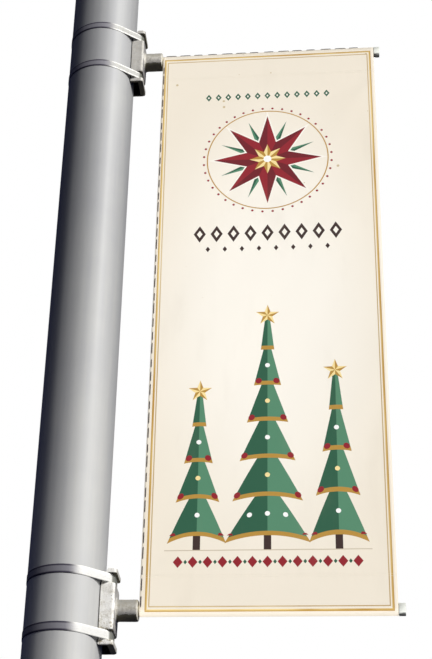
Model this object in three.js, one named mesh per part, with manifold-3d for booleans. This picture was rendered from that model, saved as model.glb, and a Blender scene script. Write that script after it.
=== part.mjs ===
// A street banner stretched between two rods that two cast saddles hold off a length of round lamp pole.
// Millimetres, +Z up along the pole, +X along the rods to their free ends, the banner's front towards -Y.
// The origin is on the pole's axis, at the lower cut end of the pole.

import * as THREE from "three";
import { mergeVertices } from "three/addons/utils/BufferGeometryUtils.js";
import Module from "manifold-3d";

const wasm = await Module();
wasm.setup();

// Driving dimensions
const FIT_GAP = 0.3;              // clearance between pieces that touch

const POLE_DIAMETER = 191;
const POLE_WALL = 5;
const POLE_LENGTH = 2260;
const POLE_SIDES = 64;

const LOWER_ROD_HEIGHT = 200;     // rod axis above the pole's lower cut end
const ROD_SPACING = 1700;         // between the two rods' axes
const ROD_DIAMETER = 27;
const ROD_SIDES = 32;

const BANNER_WIDTH = 610;
const BANNER_LEFT = 182.3;        // distance of the banner's near edge from the pole's axis
const CLOTH = 1.2;                // thickness of the coated cloth
const POCKET_DEPTH = 75;          // from the rod's axis to the tip of the pocket
const POCKET_OVERLAP = 12;        // strip of the turned-back cloth joined flat to the sheet
const BELLY = 2.5;                // how far the middle of the sheet stands back
const RIPPLE = 1.1;               // height of the slack waves over the sheet

const CAP_LENGTH = 16.5;
const CAP_WALL = 1.6;
const CAP_PROUD = 17.5;           // the cap's end beyond the banner's free edge

const SADDLE_HALF_HEIGHT = 97;
const SADDLE_HALF_WIDTH = 36.5;
const SADDLE_FRONT = 126.5;       // the saddle's flat front, from the pole's axis
const SADDLE_BACK = 70;           // the blank starts inside the pole and is cut to fit it
const SADDLE_CORNER = 8;
const SADDLE_SHOULDER = 8;        // height over which the middle block rounds off towards a groove
const CHANNEL_HALF_WIDTH = 29.5;
const CHANNEL_FRONT = 113;
const LIP_PROUD = 1.5;            // how far the end lips stand in front of the middle block
const EAR_LENGTH = 20;            // the upper lip is cut down behind its front ears
const EAR_SLOPE = 8;
const GROOVE_DEPTH = 5.5;
const GROOVE_SIDE_DEPTH = 3;
const GROOVE_CORNER = 17;         // the groove's floor is rounder than the block, so a band bends gently
const GROOVE_SPARE = 0.8;         // play between a band's edges and its groove

const BAND_OFFSET = 71.3;         // a band's middle above or below the rod's axis
const BAND_WIDTH = 23;
const BAND_THICKNESS = 0.9;

const BOSS_DIAMETER = 53;
const BOSS_FOOT = 2.5;            // how deep the boss's wide foot is sunk in the saddle's front
const BOSS_END = 179.5;
const BOSS_FLARE = 6.5;           // radius of the fillet at the boss's root
const BOSS_CHAMFER = 2.5;
const BOSS_SIDES = 48;

// Worked out from them
const POLE_RADIUS = POLE_DIAMETER / 2;
const ROD_RADIUS = ROD_DIAMETER / 2;
const UPPER_ROD_HEIGHT = LOWER_ROD_HEIGHT + ROD_SPACING;
const POCKET_INNER = ROD_RADIUS + FIT_GAP;
const POCKET_OUTER = POCKET_INNER + CLOTH;
const BANNER_RIGHT = BANNER_LEFT + BANNER_WIDTH;
const CAP_END = BANNER_RIGHT + CAP_PROUD;
const CAP_FLOOR = CAP_END - CAP_WALL;
const GROOVE_LOW = BAND_OFFSET - BAND_WIDTH / 2 - GROOVE_SPARE;
const GROOVE_HIGH = BAND_OFFSET + BAND_WIDTH / 2 + GROOVE_SPARE;
const CUT_SPARE = 10;             // how far a cutting shape runs past the metal

const finish = (color, roughness, metalness) => new THREE.MeshStandardMaterial({ color, roughness, metalness });
const POLE_PAINT = finish(0xb9bab8, 0.45, 0.2);
const CAST_METAL = finish(0xb5b3aa, 0.6, 0.85);
const BAND_METAL = finish(0xd8d8d4, 0.3, 1.0);
const ROD_RESIN = finish(0xd9d6c8, 0.5, 0.0);
const CAP_PLASTIC = finish(0xdcdcd8, 0.5, 0.0);
const BANNER_CLOTH = finish(0xf2e8d6, 0.75, 0.0);

// A closed mesh with its shared vertices joined, as a solid that can be cut
function toSolid(geometry) {
  const bare = geometry.clone();
  bare.deleteAttribute("normal");
  bare.deleteAttribute("uv");
  const merged = mergeVertices(bare, 1e-4);
  return new wasm.Manifold(new wasm.Mesh({
    numProp: 3,
    vertProperties: Float32Array.from(merged.attributes.position.array),
    triVerts: Uint32Array.from(merged.index.array),
  }));
}

function toGeometry(solid) {
  const mesh = solid.getMesh();
  const geometry = new THREE.BufferGeometry();
  geometry.setAttribute("position", new THREE.BufferAttribute(mesh.vertProperties, 3));
  geometry.setIndex(new THREE.BufferAttribute(mesh.triVerts, 1));
  geometry.computeVertexNormals();
  return geometry;
}

function named(name, geometry, material) {
  const mesh = new THREE.Mesh(geometry, material);
  mesh.name = name;
  return mesh;
}

// A turned shape from (radius, distance) pairs, standing along +Z or lying along +X
function turned(profile, sides, along) {
  const lathe = new THREE.LatheGeometry(profile.map(([radius, at]) => new THREE.Vector2(radius, at)), sides);
  if (along === "z") lathe.rotateX(Math.PI / 2);
  else lathe.rotateZ(-Math.PI / 2);
  return lathe;
}

function plug(radius, from, to, sides, along) {
  return turned([[0, from], [radius, from], [radius, to], [0, to]], sides, along);
}

// The pole: an open tube
function makePole() {
  const inner = POLE_RADIUS - POLE_WALL;
  const ring = [[inner, 0], [POLE_RADIUS, 0], [POLE_RADIUS, POLE_LENGTH], [inner, POLE_LENGTH], [inner, 0]];
  return named("pole", turned(ring, POLE_SIDES, "z"), POLE_PAINT);
}

// The saddle's upper half, level by level: how far its front and its sides are drawn in.
// The grooves for the bands are cut out of it afterwards.
const SKIN_LEVELS = [
  { z: GROOVE_LOW - SADDLE_SHOULDER, front: 0, side: 0 },
  { z: GROOVE_LOW - SADDLE_SHOULDER / 4, front: 0.6, side: 0.4 },
  { z: GROOVE_LOW, front: 2.5, side: 1.2 },
  { z: GROOVE_HIGH - 1, front: -LIP_PROUD, side: 0 },
  { z: SADDLE_HALF_HEIGHT - 2, front: -LIP_PROUD, side: 0 },
  { z: SADDLE_HALF_HEIGHT, front: 0.7, side: 1.5 },
];

function mirroredBelow(levels) {
  return [...levels.map((level) => ({ ...level, z: -level.z })).reverse(), ...levels];
}

function straightLevels(from, to) {
  return [{ z: from, front: 0, side: 0 }, { z: to, front: 0, side: 0 }];
}

// An outline from above with round front corners, stretched through its levels and drawn in at each
function stretched(back, front, halfWidth, corner, levels) {
  const outline = new THREE.Shape();
  outline.moveTo(back, -halfWidth);
  outline.lineTo(front - corner, -halfWidth);
  outline.absarc(front - corner, -halfWidth + corner, corner, -Math.PI / 2, 0);
  outline.lineTo(front, halfWidth - corner);
  outline.absarc(front - corner, halfWidth - corner, corner, 0, Math.PI / 2);
  outline.lineTo(back, halfWidth);
  outline.closePath();
  const steps = levels.length - 1;
  const body = new THREE.ExtrudeGeometry(outline, {
    depth: steps, steps, bevelEnabled: false, curveSegments: 5,
  });
  const position = body.attributes.position;
  for (let i = 0; i < position.count; i += 1) {
    const level = levels[Math.round(position.getZ(i))];
    const x = position.getX(i);
    const y = position.getY(i);
    const along = (x - back) / (front - back);
    const across = y / halfWidth;
    position.setXYZ(i, x - level.front * along, y - level.side * across, level.z);
  }
  return toSolid(body);
}

// What is cut from the saddle to seat the band at this height: a slab less the groove's rounder floor
function grooveCut(height) {
  const half = BAND_WIDTH / 2 + GROOVE_SPARE;
  const back = SADDLE_BACK - CUT_SPARE;
  const reach = SADDLE_HALF_WIDTH + CUT_SPARE;
  const levels = straightLevels(height - half, height + half);
  const slab = stretched(back, SADDLE_FRONT + CUT_SPARE, reach, SADDLE_CORNER, levels);
  const floorLevels = straightLevels(height - half - 1, height + half + 1);
  const floorHalfWidth = SADDLE_HALF_WIDTH - GROOVE_SIDE_DEPTH;
  const floorFront = SADDLE_FRONT - GROOVE_DEPTH;
  const floor = stretched(back - 1, floorFront, floorHalfWidth, GROOVE_CORNER, floorLevels);
  return slab.subtract(floor);
}

// What is cut from the upper lip, so that only its front ears stand above the band
function earCut() {
  const back = SADDLE_BACK - CUT_SPARE;
  const earBack = SADDLE_FRONT - EAR_LENGTH;
  const above = SADDLE_HALF_HEIGHT + CUT_SPARE;
  const side = new THREE.Shape([
    new THREE.Vector2(back, GROOVE_HIGH - 2),
    new THREE.Vector2(earBack - EAR_SLOPE, GROOVE_HIGH),
    new THREE.Vector2(earBack, SADDLE_HALF_HEIGHT - 2),
    new THREE.Vector2(earBack + EAR_SLOPE / 2, above),
    new THREE.Vector2(back, above),
  ]);
  const width = 2 * (SADDLE_HALF_WIDTH + CUT_SPARE);
  const cut = new THREE.ExtrudeGeometry(side, { depth: width, bevelEnabled: false });
  cut.translate(0, 0, -width / 2);
  cut.rotateX(Math.PI / 2);
  return toSolid(cut);
}

function makeBoss() {
  const radius = BOSS_DIAMETER / 2;
  const flareSteps = 5;
  const flare = Array.from({ length: flareSteps + 1 }, (_, i) => {
    const turn = (i / flareSteps) * (Math.PI / 2);
    return [radius + BOSS_FLARE * (1 - Math.sin(turn)), SADDLE_FRONT + BOSS_FLARE * (1 - Math.cos(turn))];
  });
  return toSolid(turned([
    [0, CHANNEL_FRONT + 1],
    [radius, CHANNEL_FRONT + 1],
    [radius, SADDLE_FRONT - BOSS_FOOT],
    [radius + BOSS_FLARE, SADDLE_FRONT - BOSS_FOOT],
    ...flare,
    [radius, BOSS_END - BOSS_CHAMFER],
    [radius - BOSS_CHAMFER, BOSS_END],
    [0, BOSS_END],
  ], BOSS_SIDES, "x"));
}

function makeSaddle(name) {
  const reach = SADDLE_HALF_HEIGHT + CUT_SPARE;
  const skin = mirroredBelow(SKIN_LEVELS);
  const hollow = straightLevels(-reach, reach);
  const blank = stretched(SADDLE_BACK, SADDLE_FRONT, SADDLE_HALF_WIDTH, SADDLE_CORNER, skin);
  const seated = blank.subtract(grooveCut(BAND_OFFSET)).subtract(grooveCut(-BAND_OFFSET));
  const channelBack = SADDLE_BACK - CUT_SPARE;
  const channel = stretched(channelBack, CHANNEL_FRONT, CHANNEL_HALF_WIDTH, SADDLE_CORNER, hollow);
  const poleSpace = toSolid(plug(POLE_RADIUS + FIT_GAP, -reach, reach, POLE_SIDES, "z"));
  const boreRadius = ROD_RADIUS + FIT_GAP;
  const bore = toSolid(plug(boreRadius, CHANNEL_FRONT - CUT_SPARE, BOSS_END + CUT_SPARE, ROD_SIDES, "x"));
  const opened = seated.subtract(channel).subtract(earCut()).subtract(poleSpace);
  const solid = opened.add(makeBoss()).subtract(bore);
  return named(name, toGeometry(solid), CAST_METAL);
}

// Points along an arc, both ends included
function arcPoints(x, y, radius, from, to, steps) {
  return Array.from({ length: steps + 1 }, (_, i) => {
    const turn = from + (i / steps) * (to - from);
    return new THREE.Vector2(x + radius * Math.cos(turn), y + radius * Math.sin(turn));
  });
}

// A band's path: round the back of the pole, off it in two straight runs, and across the saddle's groove
const BAND_POLE_STEPS = 40;
const BAND_CORNER_STEPS = 8;
function bandLoop(offset) {
  const round = POLE_RADIUS + offset;
  const cornerX = SADDLE_FRONT - GROOVE_DEPTH - GROOVE_CORNER;
  const cornerY = SADDLE_HALF_WIDTH - GROOVE_SIDE_DEPTH - GROOVE_CORNER;
  const cornerRound = GROOVE_CORNER + offset;
  // Each straight run touches the pole's circle and the corner's circle from outside
  const away = Math.hypot(cornerX, cornerY);
  const leave = Math.atan2(cornerY, cornerX) + Math.acos((round - cornerRound) / away);
  return [
    ...arcPoints(0, 0, round, leave, 2 * Math.PI - leave, BAND_POLE_STEPS),
    ...arcPoints(cornerX, -cornerY, cornerRound, -leave, 0, BAND_CORNER_STEPS),
    ...arcPoints(cornerX, cornerY, cornerRound, 0, leave, BAND_CORNER_STEPS),
  ];
}

function makeBand(name) {
  const section = new THREE.Shape(bandLoop(FIT_GAP + BAND_THICKNESS));
  section.holes.push(new THREE.Path(bandLoop(FIT_GAP)));
  const band = new THREE.ExtrudeGeometry(section, { depth: BAND_WIDTH, bevelEnabled: false });
  band.translate(0, 0, -BAND_WIDTH / 2);
  return named(name, band, BAND_METAL);
}

// The rod runs from the saddle's channel to just inside its cap's end
function makeRod(name) {
  return named(name, plug(ROD_RADIUS, CHANNEL_FRONT, CAP_FLOOR - FIT_GAP, ROD_SIDES, "x"), ROD_RESIN);
}

function makeCap(name) {
  const inner = ROD_RADIUS + FIT_GAP;
  const outer = inner + CAP_WALL;
  const mouth = CAP_END - CAP_LENGTH;
  const cup = [
    [0, CAP_FLOOR], [inner, CAP_FLOOR], [inner, mouth], [outer, mouth],
    [outer, CAP_FLOOR], [outer - CAP_WALL, CAP_END], [0, CAP_END],
  ];
  return named(name, turned(cup, ROD_SIDES, "x"), CAP_PLASTIC);
}

// The banner's section, as pairs of depth from front to back and height
const PANEL_ROWS = 16;
const POCKET_STEPS = 16;
const BANNER_COLUMNS = 14;

// The pocket's skin from the front, over the rod and down its back to the join: side is 1 at the top
// and -1 at the bottom, axis is the rod's height
function pocketOuter(side, axis) {
  const seamY = -POCKET_INNER + CLOTH;
  const away = Math.hypot(seamY, POCKET_DEPTH);
  const toSeam = Math.atan2(-POCKET_DEPTH, seamY);
  const leave = toSeam + Math.acos(POCKET_OUTER / away);
  const points = [];
  for (let i = 0; i <= POCKET_STEPS; i += 1) {
    const turn = Math.PI + (i / POCKET_STEPS) * (leave - Math.PI);
    points.push([POCKET_OUTER * Math.cos(turn), axis + side * POCKET_OUTER * Math.sin(turn)]);
  }
  points.push([seamY, axis - side * POCKET_DEPTH]);
  points.push([seamY, axis - side * (POCKET_DEPTH + POCKET_OVERLAP)]);
  points.push([-POCKET_INNER, axis - side * (POCKET_DEPTH + POCKET_OVERLAP)]);
  return points;
}

// The hollow of the pocket, round the rod and down to a tip where its two walls meet
function pocketInner(side, axis) {
  const tipY = -POCKET_INNER;
  const away = Math.hypot(tipY, POCKET_DEPTH);
  const toTip = Math.atan2(-POCKET_DEPTH, tipY);
  const leave = toTip + Math.acos(POCKET_INNER / away);
  const points = [[tipY, axis - side * POCKET_DEPTH]];
  for (let i = 0; i <= POCKET_STEPS; i += 1) {
    const turn = Math.PI + (i / POCKET_STEPS) * (leave - Math.PI);
    points.push([POCKET_INNER * Math.cos(turn), axis + side * POCKET_INNER * Math.sin(turn)]);
  }
  return points;
}

// 0 at the pockets and 1 halfway between them, with a soft start at both ends
const PANEL_LOW = LOWER_ROD_HEIGHT + POCKET_DEPTH + POCKET_OVERLAP;
const PANEL_HIGH = UPPER_ROD_HEIGHT - POCKET_DEPTH - POCKET_OVERLAP;
function awayFromPockets(height) {
  const up = THREE.MathUtils.clamp((height - PANEL_LOW) / (PANEL_HIGH - PANEL_LOW), 0, 1);
  return Math.sin(Math.PI * up) ** 2;
}

// Points of one face of the sheet strictly between two heights, bowed back by the belly
function panelFace(y, from, to) {
  return Array.from({ length: PANEL_ROWS - 1 }, (_, i) => {
    const height = from + ((i + 1) / PANEL_ROWS) * (to - from);
    return [y + BELLY * awayFromPockets(height), height];
  });
}

function makeBanner() {
  // Counterclockwise: down the front, under the lower rod, up the back and over the upper rod
  const outline = [
    [-POCKET_OUTER, PANEL_HIGH],
    ...panelFace(-POCKET_OUTER, PANEL_HIGH, PANEL_LOW),
    [-POCKET_OUTER, PANEL_LOW],
    ...pocketOuter(-1, LOWER_ROD_HEIGHT),
    ...panelFace(-POCKET_INNER, PANEL_LOW, PANEL_HIGH),
    ...pocketOuter(1, UPPER_ROD_HEIGHT).reverse(),
  ];
  const section = new THREE.Shape(outline.map(([y, z]) => new THREE.Vector2(y, z)));
  for (const [side, axis] of [[1, UPPER_ROD_HEIGHT], [-1, LOWER_ROD_HEIGHT]]) {
    section.holes.push(new THREE.Path(pocketInner(side, axis).map(([y, z]) => new THREE.Vector2(y, z))));
  }
  const cloth = new THREE.ExtrudeGeometry(section, {
    depth: BANNER_WIDTH, steps: BANNER_COLUMNS, bevelEnabled: false,
  });
  const axes = new THREE.Matrix4().makeBasis(
    new THREE.Vector3(0, 1, 0), new THREE.Vector3(0, 0, 1), new THREE.Vector3(1, 0, 0),
  );
  cloth.applyMatrix4(axes);
  cloth.translate(BANNER_LEFT, 0, 0);

  // The belly dies out towards the two sides, and slack waves cross the sheet
  const position = cloth.attributes.position;
  for (let i = 0; i < position.count; i += 1) {
    const up = (position.getZ(i) - PANEL_LOW) / (PANEL_HIGH - PANEL_LOW);
    const over = (position.getX(i) - BANNER_LEFT) / BANNER_WIDTH;
    const longWave = Math.sin(2 * Math.PI * (1.5 * over + 0.8 * up));
    const crossWave = 0.6 * Math.sin(2 * Math.PI * (2.2 * up - over));
    const back = BELLY * (Math.sin(Math.PI * over) - 1) + RIPPLE * (longWave + crossWave);
    position.setY(i, position.getY(i) + awayFromPockets(position.getZ(i)) * back);
  }
  return named("banner", cloth, BANNER_CLOTH);
}

// One arm: a saddle on the pole, its two bands, the rod and its cap, about the rod's axis
function makeArm(place, height) {
  const arm = new THREE.Group();
  arm.position.z = height;
  arm.add(makeSaddle(`bracket_${place}`), makeRod(`rod_${place}`), makeCap(`cap_${place}`));
  for (const [end, side] of [["top", 1], ["low", -1]]) {
    const band = makeBand(`band_${place}_${end}`);
    band.position.z = side * BAND_OFFSET;
    arm.add(band);
  }
  return arm;
}

const poleBanner = new THREE.Group();
poleBanner.add(
  makePole(),
  makeArm("upper", UPPER_ROD_HEIGHT),
  makeArm("lower", LOWER_ROD_HEIGHT),
  makeBanner(),
);

export default poleBanner;
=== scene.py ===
# %% [markdown]
# # A banner on a pole, dressed for its photograph
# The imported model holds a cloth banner, two rods with caps, two cast saddles, four steel bands and a
# length of pole. All stand in one frame: metres, +Z up the pole, +X along the rods, the banner's front to
# -Y. Each cell below finishes one thing. A piece whose plain solid lacks real surface form gets a finer
# mesh, and every piece gets a finish written as sums, so that the real scale of a weave or a grain shows.

# %% Load the frame
import math

import bmesh
import bpy
import numpy as np
from mathutils import Matrix, Vector, noise


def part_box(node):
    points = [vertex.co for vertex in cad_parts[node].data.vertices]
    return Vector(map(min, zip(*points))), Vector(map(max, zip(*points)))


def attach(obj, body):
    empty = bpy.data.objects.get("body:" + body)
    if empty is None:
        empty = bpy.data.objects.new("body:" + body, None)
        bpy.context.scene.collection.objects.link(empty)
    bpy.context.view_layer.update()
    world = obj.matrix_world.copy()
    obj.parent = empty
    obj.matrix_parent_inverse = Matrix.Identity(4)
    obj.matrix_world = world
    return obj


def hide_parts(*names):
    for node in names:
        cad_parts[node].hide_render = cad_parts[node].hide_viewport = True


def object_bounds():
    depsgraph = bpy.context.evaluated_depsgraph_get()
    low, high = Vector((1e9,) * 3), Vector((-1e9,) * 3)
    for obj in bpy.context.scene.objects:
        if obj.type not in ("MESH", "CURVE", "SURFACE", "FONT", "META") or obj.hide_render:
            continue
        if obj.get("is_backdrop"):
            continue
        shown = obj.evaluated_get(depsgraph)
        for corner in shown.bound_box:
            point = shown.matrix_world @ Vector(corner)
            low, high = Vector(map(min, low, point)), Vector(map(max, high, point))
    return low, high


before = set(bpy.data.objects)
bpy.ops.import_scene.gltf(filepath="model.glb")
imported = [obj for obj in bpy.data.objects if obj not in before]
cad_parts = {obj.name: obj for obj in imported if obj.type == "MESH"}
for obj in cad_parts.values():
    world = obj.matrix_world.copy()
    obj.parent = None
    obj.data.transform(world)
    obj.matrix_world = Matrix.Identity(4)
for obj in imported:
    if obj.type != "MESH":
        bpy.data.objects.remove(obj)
cad_low, cad_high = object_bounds()
print("nodes:", sorted(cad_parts))
print("solid box:", [round(v, 4) for v in (*cad_low, *cad_high)])

# %% [markdown]
# ## Camera
# The photographer stood on the ground below the banner and looked up at it, so the upright lines lean
# together towards the top. Where they stood was worked out from the edges of the banner and the pole, the
# rods' ends and the curves of the bands. The picture is an off-centre crop, which a small sideways shift
# repeats in part.

# %% Camera
CAMERA_PLACE = Vector((0.665, -3.507, -1.134))
CAMERA_YAW = math.radians(-7.92)
CAMERA_PITCH = math.radians(30.87)
CAMERA_ROLL = math.radians(2.57)
CAMERA_LENS = 85.26
CAMERA_SHIFT = 0.0998
scene = bpy.context.scene


def add_object(name, data):
    """A new object in the scene."""
    made = bpy.data.objects.new(name, data)
    scene.collection.objects.link(made)
    return made


def camera_turn(yaw, pitch, roll):
    """The camera's own axes as columns: right, up and backwards."""
    forward = Vector((math.sin(yaw) * math.cos(pitch), math.cos(yaw) * math.cos(pitch), math.sin(pitch)))
    level = Vector((math.cos(yaw), -math.sin(yaw), 0.0))
    upright = level.cross(forward)
    right = level * math.cos(roll) + upright * math.sin(roll)
    up = upright * math.cos(roll) - level * math.sin(roll)
    return Matrix((right, up, -forward)).transposed().to_4x4()


camera = add_object("camera", bpy.data.cameras.new("camera"))
camera.data.lens = CAMERA_LENS
camera.data.sensor_width = 36.0
camera.data.shift_x = CAMERA_SHIFT
camera.matrix_world = Matrix.Translation(CAMERA_PLACE) @ camera_turn(CAMERA_YAW, CAMERA_PITCH, CAMERA_ROLL)
scene.camera = camera
scene.view_settings.view_transform = "Standard"
print("camera stands", round(-CAMERA_PLACE.z, 2), "m below the pole's lower cut end")

# %% [markdown]
# ## Shader sums
# A node material is a sum worked out at each point of a surface. Wiring such sums by hand hides them, so one
# small class wraps a node's output and lets Python's own signs add the Math nodes: `1 - mask` is a Subtract
# node. Numbers alone stay in Python. Any other node comes from one method, which first sets the node up and
# then fills or links its sockets.

# %% A wire that knows arithmetic
class Wire:
    """One output of a node tree, or the bare tree to start from."""

    def __init__(self, tree, socket=None):
        self.tree = tree
        self.socket = socket

    def node(self, kind, settings=None, inputs=None, out=0):
        made = self.tree.nodes.new(kind)
        for key, value in (settings or {}).items():
            setattr(made, key, value)
        for key, value in (inputs or {}).items():
            if isinstance(value, Wire):
                self.tree.links.new(value.socket, made.inputs[key])
            else:
                made.inputs[key].default_value = value
        return Wire(self.tree, made.outputs[out] if made.outputs else None)

    def math(self, operation, *values, clamp=False):
        settings = {"operation": operation, "use_clamp": clamp}
        return self.node("ShaderNodeMath", settings, dict(enumerate(values)))

    def __add__(self, other):
        return self.math("ADD", self, other)

    __radd__ = __add__

    def __sub__(self, other):
        return self.math("SUBTRACT", self, other)

    def __rsub__(self, other):
        return self.math("SUBTRACT", other, self)

    def __mul__(self, other):
        return self.math("MULTIPLY", self, other)

    __rmul__ = __mul__

    def __pow__(self, other):
        return self.math("POWER", self, other)

    def __mod__(self, other):
        return self.math("FLOORED_MODULO", self, other)

    def __neg__(self):
        return self.math("MULTIPLY", self, -1.0)

    def __abs__(self):
        return self.math("ABSOLUTE", self)

    def part(self, axis):
        """One of a direction's or a place's three numbers: X, Y or Z."""
        return self.node("ShaderNodeSeparateXYZ", None, {0: self}, out=axis)

    def between(self, low, high):
        """A colour that goes from low to high while this value goes from 0 to 1."""
        return self.node("ShaderNodeMix", {"data_type": "RGBA"}, {0: self, 6: low, 7: high}, out=2)


def sine(value):
    return value.math("SINE", value)


def cosine(value):
    return value.math("COSINE", value)


def least(first, second):
    return first.math("MINIMUM", first, second)


def most(first, second):
    return first.math("MAXIMUM", first, second)


def length_of(first, second):
    return (first * first + second * second) ** 0.5


def edge(value, blur=0.0004):
    """1 where a distance in metres is positive and 0 where it is negative, with a thin soft edge."""
    return value.math("MULTIPLY_ADD", value, 1 / blur, 0.5, clamp=True)


def ease(value, low, high):
    """0 at low and 1 at high, with a soft start and end."""
    settings = {"interpolation_type": "SMOOTHSTEP"}
    return value.node("ShaderNodeMapRange", settings, {0: value, 1: low, 2: high})


def dye(red, green, blue):
    """A colour as a paint card gives it, 0 to 255, turned into the light that Blender reckons in."""
    shares = [part / 255 for part in (red, green, blue)]
    return tuple(s / 12.92 if s <= 0.04045 else ((s + 0.055) / 1.055) ** 2.4 for s in shares) + (1.0,)


print("cream cloth reflects", [round(v, 3) for v in dye(242, 232, 214)[:3]])

# %% [markdown]
# ## Starting and ending a finish
# Every finish below starts from the point's place in metres, stretched for a grain that runs one way, and
# ends in one Principled shader. What is the same all over is set straight on that shader's sockets.

# %% Finish helpers
def start(material, what="Object"):
    """The place in metres of the point being coloured, or with "Normal" the way it faces."""
    return Wire(material.node_tree).node("ShaderNodeTexCoord", out=what)


def stretched(place, x_scale, y_scale, z_scale):
    """The place with each direction counted in its own step, for grain that runs one way."""
    scale = (x_scale, y_scale, z_scale)
    return place.node("ShaderNodeVectorMath", {"operation": "MULTIPLY"}, {0: place, 1: scale})


def cloud(place, scale, detail=3.0, roughness=0.55):
    """Soft noise between 0 and 1, with scale blobs to the metre."""
    inputs = {"Vector": place, "Scale": scale, "Detail": detail, "Roughness": roughness}
    return place.node("ShaderNodeTexNoise", None, inputs, out="Fac")


def spots(place, scale, share, size, kind="3D"):
    """How far inside a round spot a point is: a share of the cells, scale to the metre, has one."""
    settings = {"voronoi_dimensions": kind}
    inputs = {"Vector": place, "Scale": scale}
    away = place.node("ShaderNodeTexVoronoi", settings, inputs, out="Distance")
    cell = place.node("ShaderNodeTexVoronoi", settings, inputs, out="Color")
    chance = cell.node("ShaderNodeSeparateColor", None, {0: cell})
    return ease(chance, 1 - share, 1.0) * size - away * (1 / scale)


def relief(height, depth, beneath=None):
    """The surface's own direction, tilted by a height that is depth metres at 1."""
    inputs = {"Height": height, "Distance": depth, "Strength": 1.0}
    if beneath is not None:
        inputs["Normal"] = beneath
    return height.node("ShaderNodeBump", None, inputs)


def new_finish(name):
    material = bpy.data.materials.new(name)
    material.use_nodes = True
    return material


def set_finish(material, **sockets):
    """Puts values or wires on the material's shader: base_color stands for Base Color."""
    shader = material.node_tree.nodes["Principled BSDF"]
    for key, value in sockets.items():
        socket = shader.inputs[key.replace("_", " ").title().replace("Ior", "IOR")]
        if isinstance(value, Wire):
            material.node_tree.links.new(value.socket, socket)
        else:
            socket.default_value = value
    print("finish", material.name, "has", len(material.node_tree.nodes), "nodes")
    return material


# %% [markdown]
# ## Floor, daylight and lamps
# A banner hangs out of doors, but a studio shows it best: a pale floor far below, and light that comes
# from the right and the front, as sun through thin cloud does. The left stays dark, so that the round
# pole turns from a dark edge to a bright one. A sky shader does this with a sum on the direction looked in.
# The cloth and the white caps are far paler than the metal, so the strong key lamp is kept off them, as a
# photographer flags a lamp off a white dress. They have three weaker lights of their own: one in front, one
# below, which keeps the cloth bright down to its lower fold, and one behind. The metal has a cooler lamp
# behind it too, without gloss, so that the back can be looked at. The floor paint glows a little, so that
# its far side stays pale.

# %% Floor and light
FLOOR_DEPTH = 3.9
FLOOR_HALF = 14.0
SKY_BRIGHT = 0.95
LAMPS_AWAY = 14.0
LAMP_SIZE = 3.0
KEY_AZIMUTH = 52
KEY_HEIGHT = 36
BACK_AZIMUTH = 195
BACK_HEIGHT = 25
SUN_SPREAD = 30
FLOOR_GLOW = 0.52
SKY_DARK = (0.012, 0.016, 0.045, 1.0)
SKY_LIGHT = (1.0, 0.985, 0.955, 1.0)
SKY_BEHIND = (0.05, 0.06, 0.11, 1.0)
LAMPS = [
    # name, kind, degrees round, degrees up, strength, colour if not white
    ("key_lamp", "AREA", KEY_AZIMUTH, KEY_HEIGHT, 2450.0, (1.0, 0.985, 0.955)),
    ("back_lamp", "AREA", BACK_AZIMUTH, BACK_HEIGHT, 2800.0, (0.96, 0.98, 1.0)),
    ("cloth_lamp", "SUN", 35, 30, 2.2),
    ("fill_lamp", "SUN", 0, -75, 3.4),
    ("cloth_back_lamp", "SUN", BACK_AZIMUTH, BACK_HEIGHT, 3.0),
]


def make_floor():
    half = FLOOR_HALF
    corners = [(-half, -half), (half, -half), (half, half), (-half, half)]
    mesh = bpy.data.meshes.new("floor")
    mesh.from_pydata([(x, y, -FLOOR_DEPTH) for x, y in corners], [], [(0, 1, 2, 3)])
    floor = add_object("floor", mesh)
    material = new_finish("floor_paint")
    shade = cloud(start(material), 0.8).between(dye(136, 135, 132), dye(142, 141, 138))
    glow = (0.80, 0.79, 0.77, 1.0)
    set_finish(material, base_color=shade, roughness=0.9, emission_color=glow, emission_strength=FLOOR_GLOW)
    mesh.materials.append(material)
    floor.visible_diffuse = False
    floor.visible_glossy = False
    floor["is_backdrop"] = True


def towards(azimuth, height):
    """The direction to a light, in degrees round to the right from the banner's front and up."""
    turn = math.radians(azimuth)
    rise = math.radians(height)
    level = math.cos(rise)
    return Vector((math.sin(turn) * level, -math.cos(turn) * level, math.sin(rise)))


def make_sky():
    sky = scene.world or bpy.data.worlds.new("sky")
    scene.world = sky
    sky.use_nodes = True
    sky.node_tree.nodes.clear()
    look = start(sky, "Generated")
    x, y, z = map(look.part, "XYZ")
    bright = towards(KEY_AZIMUTH, KEY_HEIGHT)
    near = ease(x * bright.x + y * bright.y + z * bright.z, 0.55, 0.96)
    tint = ease(y, 0.1, 0.9).between(SKY_DARK, SKY_BEHIND)
    tint = (near * ease(z, -0.35, 0.15)).between(tint, SKY_LIGHT)
    glow = look.node("ShaderNodeBackground", None, {"Color": tint, "Strength": SKY_BRIGHT})
    paper = look.node("ShaderNodeBackground", None, {"Color": (1.0, 1.0, 1.0, 1.0), "Strength": 1.0})
    seen = look.node("ShaderNodeLightPath", out="Is Camera Ray")
    both = look.node("ShaderNodeMixShader", None, {0: seen, 1: glow, 2: paper})
    look.node("ShaderNodeOutputWorld", None, {"Surface": both})


def make_lamp(name, kind, azimuth, height, strength, color=(1.0, 1.0, 1.0)):
    """A lamp aimed at the part's middle: an area lamp in watts, or a sun in watts to the square metre."""
    light = bpy.data.lights.new(name, kind)
    light.energy = strength
    light.color = color
    if kind == "SUN":
        light.angle = math.radians(SUN_SPREAD)
    else:
        light.size = LAMP_SIZE
    lamp = add_object(name, light)
    lamp.location = (cad_low + cad_high) / 2 + towards(azimuth, height) * LAMPS_AWAY
    lamp.rotation_euler = towards(azimuth, height).to_track_quat("Z", "Y").to_euler()
    return lamp


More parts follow.
